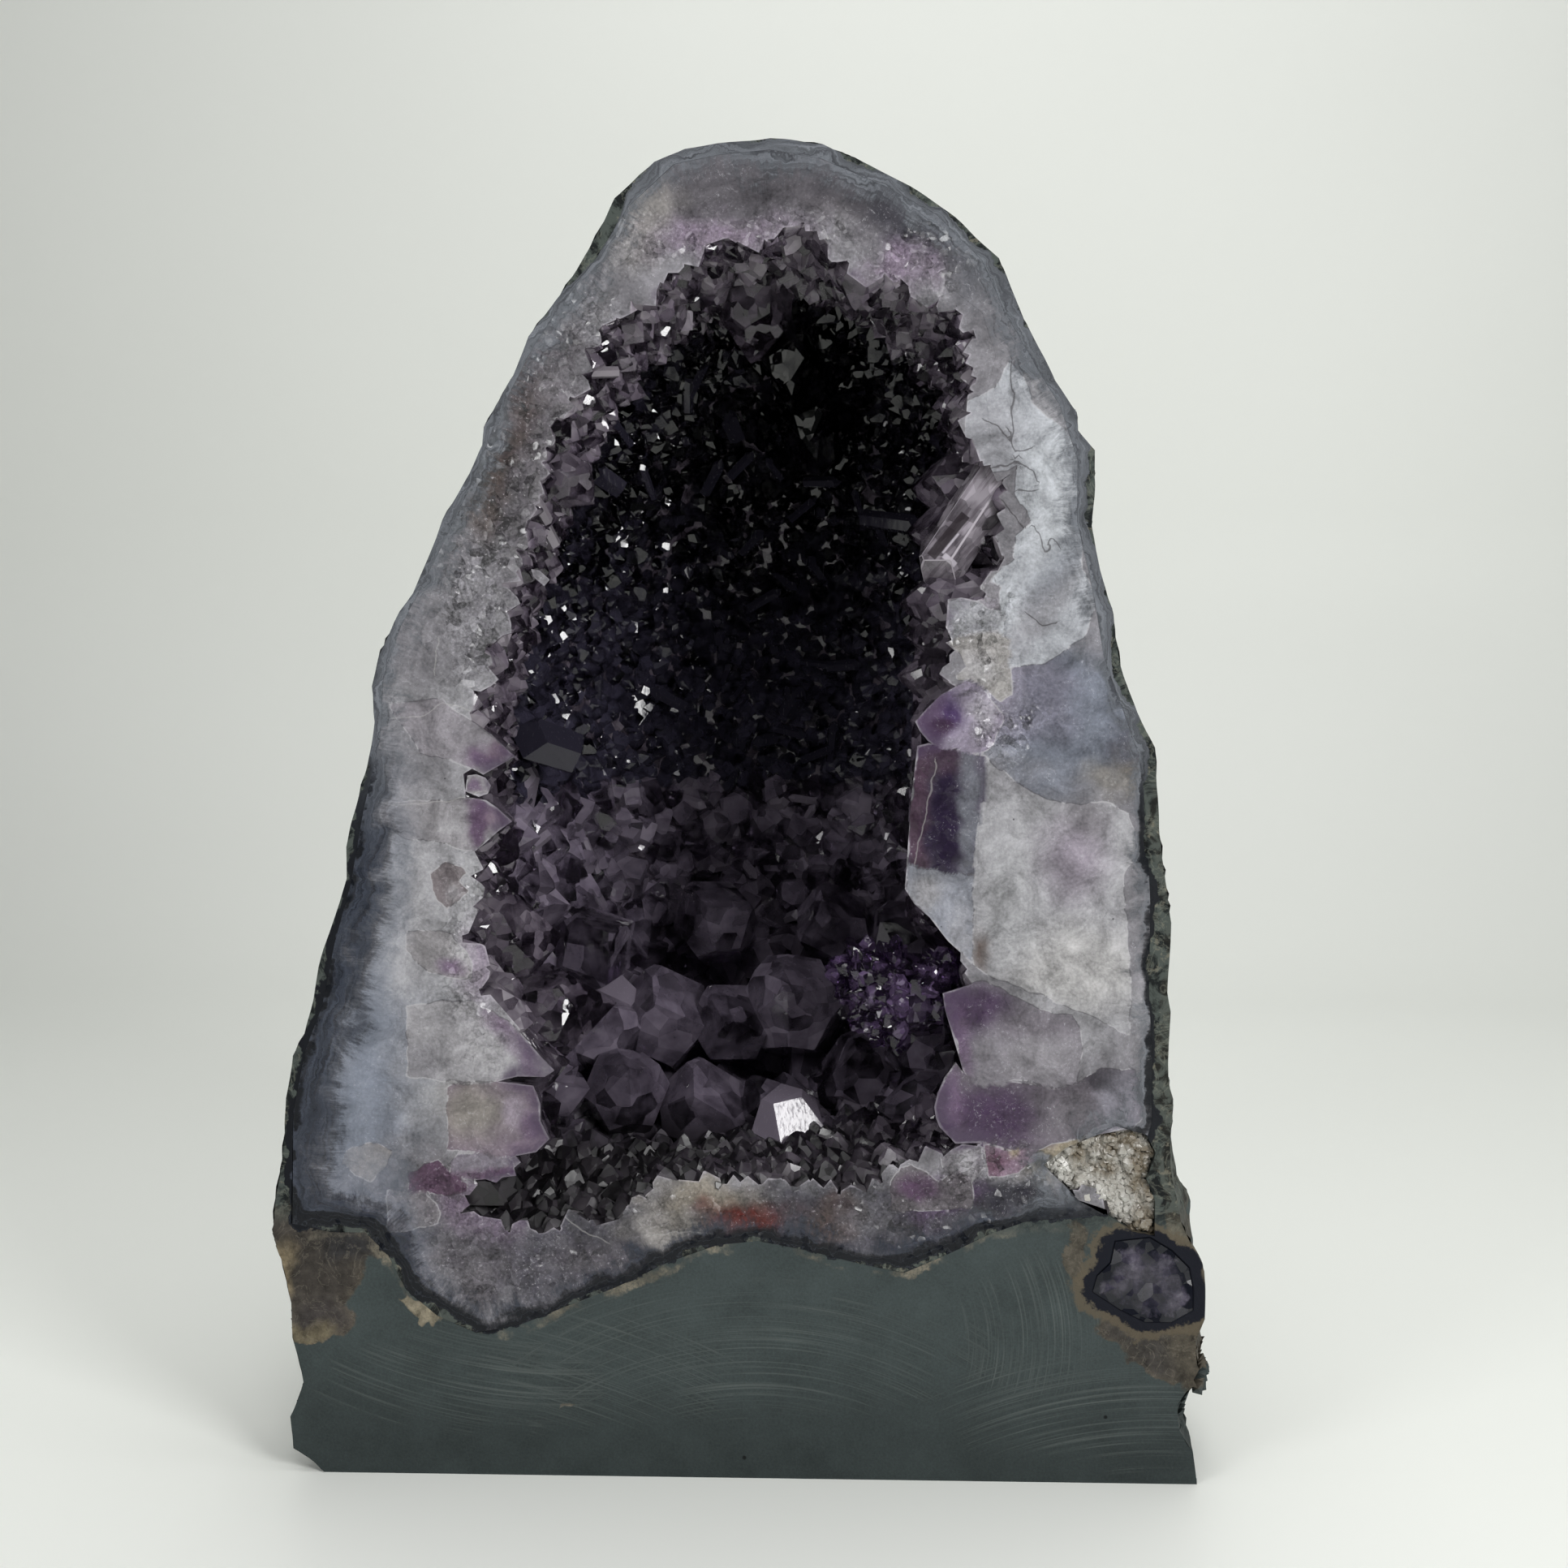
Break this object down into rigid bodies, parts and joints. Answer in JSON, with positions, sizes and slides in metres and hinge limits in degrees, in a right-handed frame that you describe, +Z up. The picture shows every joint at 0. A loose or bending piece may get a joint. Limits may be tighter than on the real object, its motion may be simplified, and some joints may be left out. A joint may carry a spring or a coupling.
{
  "type": "amethyst cathedral geode",
  "caption": "Tall half geode standing on a sawn base, its sawn front open on a hollow lined with amethyst points inside a band of agate and a basalt rind.",
  "frame": {"origin": "middle of the flat sawn base", "axes": "+X to the right across the sawn face, +Y back into the rock (the open sawn face is at -Y), +Z up"},
  "size_m": [0.2201, 0.1489, 0.3],
  "materials": {
    "basalt": "matt sawn and rough grey-green basalt with brown weathering",
    "agate": "polished grey agate passing into milky quartz",
    "amethyst": "glossy amethyst points, milky at the root and purple at the tip",
    "smoky_quartz": "polished purple-grey quartz",
    "druse": "sugary white quartz"
  },
  "bodies": {
    "root": {"basalt_rind": "basalt", "agate_band": "agate", "amethyst_crust": "amethyst", "pocket_quartz": "smoky_quartz", "drusy_patch": "druse"}
  },
  "joints": []
}
